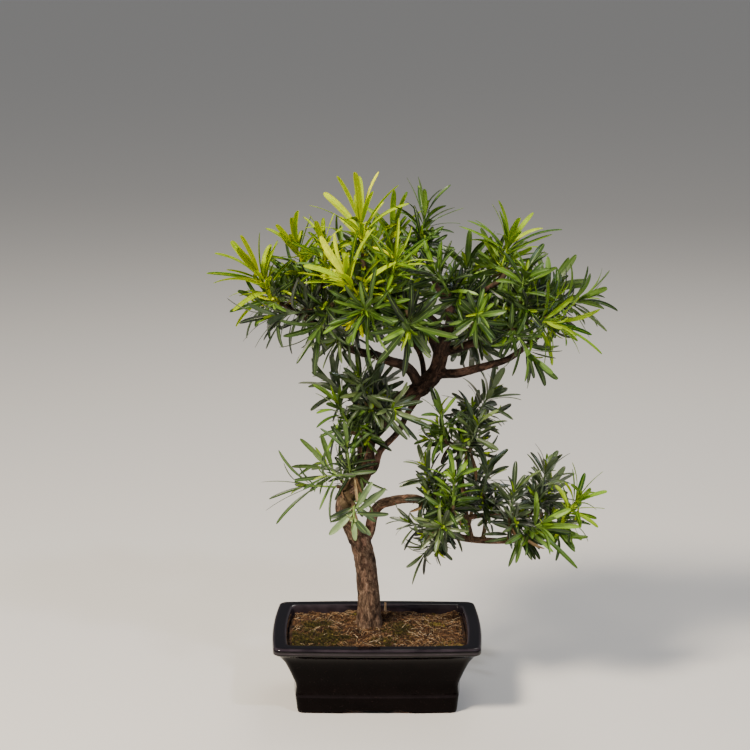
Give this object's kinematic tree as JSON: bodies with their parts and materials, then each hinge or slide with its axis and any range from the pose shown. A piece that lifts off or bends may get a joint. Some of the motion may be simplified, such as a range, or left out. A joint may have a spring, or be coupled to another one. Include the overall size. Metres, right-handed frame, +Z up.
{
  "type": "buddhist pine bonsai",
  "caption": "Buddhist pine bonsai: a curved, forked trunk with sprays of narrow strap leaves, standing in soil in a glazed oblong pot with low feet.",
  "frame": {"origin": "middle of the pot's underside", "axes": "+Z up, X along the pot's long side, the front of the tree faces -Y"},
  "size_m": [0.3956, 0.2629, 0.5256],
  "materials": {
    "glaze": "gloss",
    "soil": "matte",
    "bark": "matte",
    "dry_wood": "matte",
    "net": "matte",
    "leaf_fresh": "satin",
    "leaf_bright": "satin",
    "leaf_green": "satin",
    "leaf_dark": "satin"
  },
  "bodies": {
    "root": {"pot": "glaze", "soil": "soil", "trunk": "bark", "dry_stem": "dry_wood", "drain_net_left": "net", "drain_net_right": "net", "crown_left_shoot_1": "leaf_fresh", "crown_left_shoot_2": "leaf_dark", "crown_left_shoot_3": "leaf_fresh", "crown_left_shoot_4": "leaf_fresh", "crown_left_shoot_5": "leaf_green", "crown_left_shoot_6": "leaf_green", "crown_top_shoot_1": "leaf_fresh", "crown_top_shoot_2": "leaf_fresh", "crown_top_shoot_3": "leaf_bright", "crown_top_shoot_4": "leaf_green", "crown_top_shoot_5": "leaf_bright", "crown_top_shoot_6": "leaf_green", "crown_middle_shoot_1": "leaf_green", "crown_middle_shoot_2": "leaf_green", "crown_middle_shoot_3": "leaf_green", "crown_middle_shoot_4": "leaf_green", "crown_middle_shoot_5": "leaf_dark", "crown_right_shoot_1": "leaf_bright", "crown_right_shoot_2": "leaf_green", "crown_right_shoot_3": "leaf_bright", "crown_right_shoot_4": "leaf_green", "crown_right_shoot_5": "leaf_green", "crown_right_shoot_6": "leaf_green", "crown_right_shoot_7": "leaf_green", "crown_right_shoot_8": "leaf_green", "crown_back_shoot_1": "leaf_green", "crown_back_shoot_2": "leaf_dark", "crown_back_shoot_3": "leaf_dark", "middle_left_shoot_1": "leaf_green", "middle_left_shoot_2": "leaf_dark", "middle_left_shoot_3": "leaf_dark", "middle_left_shoot_4": "leaf_dark", "middle_left_shoot_5": "leaf_dark", "middle_right_shoot_1": "leaf_green", "middle_right_shoot_2": "leaf_dark", "middle_right_shoot_3": "leaf_dark", "lower_left_shoot_1": "leaf_green", "lower_left_shoot_2": "leaf_green", "lower_left_shoot_3": "leaf_green", "lower_left_shoot_4": "leaf_green", "lower_left_shoot_5": "leaf_green", "lower_right_shoot_1": "leaf_dark", "lower_right_shoot_2": "leaf_green", "lower_right_shoot_3": "leaf_dark", "lower_right_shoot_4": "leaf_dark", "lower_right_shoot_5": "leaf_dark", "lower_right_shoot_6": "leaf_bright", "lower_right_shoot_7": "leaf_green", "lower_right_shoot_8": "leaf_dark", "lower_right_shoot_9": "leaf_dark", "lower_right_shoot_10": "leaf_dark", "lower_right_shoot_11": "leaf_dark", "lower_right_shoot_12": "leaf_dark"}
  },
  "joints": []
}
